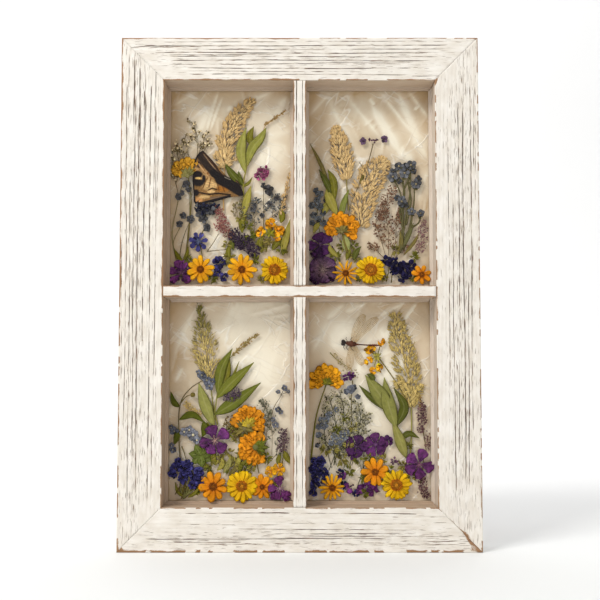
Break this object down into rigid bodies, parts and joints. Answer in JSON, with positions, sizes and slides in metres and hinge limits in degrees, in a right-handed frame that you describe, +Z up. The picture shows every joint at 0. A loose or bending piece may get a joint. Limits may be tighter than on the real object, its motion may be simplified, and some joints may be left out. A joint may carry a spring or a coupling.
{
  "type": "pressed flower frame",
  "caption": "Window-shaped frame of worn white-painted wood whose panes hold pressed flowers, grasses, a swallowtail wing and a dragonfly on crinkled pearly sheets.",
  "frame": {"origin": "middle of the foot, on the surface the frame stands on", "axes": "+X to the right seen from the front, +Y to the back, +Z up; the panes face -Y"},
  "size_m": [0.28, 0.038, 0.4],
  "materials": {
    "worn_white_paint": "white paint, chipped and rubbed through to the wood",
    "pearly_sheet": "crinkled, pearly, glossy",
    "hardboard": "plain, matt",
    "steel": "bright, thin",
    "straw": "dry, matt",
    "leaf": "dry, matt",
    "butterfly_wing": "scaly, matt",
    "golden_petal": "dry, matt",
    "indigo_petal": "dry, matt",
    "purple_petal": "dry, matt",
    "yellow_petal": "dry, matt",
    "dark_floret": "dry, matt",
    "orange_petal": "dry, matt",
    "blue_floret": "dry, matt",
    "dragonfly": "dry shell, satin"
  },
  "bodies": {
    "root": {"bottom_rail": "worn_white_paint", "right_stile": "worn_white_paint", "top_rail": "worn_white_paint", "left_stile": "worn_white_paint", "upright_bar": "worn_white_paint", "crossbar": "worn_white_paint", "sheet_upper_left": "pearly_sheet", "sheet_upper_right": "pearly_sheet", "sheet_lower_left": "pearly_sheet", "sheet_lower_right": "pearly_sheet", "back_board": "hardboard", "framers_point_bottom": "steel", "framers_point_right": "steel", "framers_point_top": "steel", "framers_point_left": "steel", "upper_left_grain_plume": "straw", "upper_left_willow_sprig": "leaf", "upper_left_swallowtail_wing": "butterfly_wing", "upper_left_marigold": "golden_petal", "upper_left_delphinium": "indigo_petal", "upper_left_purple_geranium": "purple_petal", "upper_left_gold_daisy_left": "golden_petal", "upper_left_larkspur": "indigo_petal", "upper_left_gold_daisy_right": "golden_petal", "upper_left_yellow_daisy": "yellow_petal", "upper_left_purple_statice": "dark_floret", "upper_left_orange_vetch": "orange_petal", "upper_right_grain_plume_left": "straw", "upper_right_grain_plume_right": "straw", "upper_right_leaf_sprig": "leaf", "upper_right_forget_me_not": "blue_floret", "upper_right_marigold": "orange_petal", "upper_right_purple_geranium": "purple_petal", "upper_right_gold_daisy": "golden_petal", "upper_right_yellow_daisy": "yellow_petal", "upper_right_larkspur": "indigo_petal", "upper_right_orange_daisy": "orange_petal", "lower_left_grain_plume": "straw", "lower_left_willow_sprig": "leaf", "lower_left_leafy_forget_me_not": "leaf", "lower_left_purple_geranium": "purple_petal", "lower_left_marigold_upper": "orange_petal", "lower_left_marigold_lower": "orange_petal", "lower_left_lobed_leaf": "leaf", "lower_left_larkspur": "indigo_petal", "lower_left_gold_daisy": "golden_petal", "lower_left_yellow_daisy": "yellow_petal", "lower_left_orange_daisy": "orange_petal", "lower_left_violet": "purple_petal", "lower_right_dragonfly": "dragonfly", "lower_right_grain_plume": "straw", "lower_right_willow_sprig": "leaf", "lower_right_marigold": "orange_petal", "lower_right_orange_trefoil": "orange_petal", "lower_right_violets": "purple_petal", "lower_right_purple_geranium": "purple_petal", "lower_right_orange_daisy": "orange_petal", "lower_right_yellow_daisy": "yellow_petal", "lower_right_gold_daisy": "golden_petal", "lower_right_larkspur": "indigo_petal"}
  },
  "joints": []
}
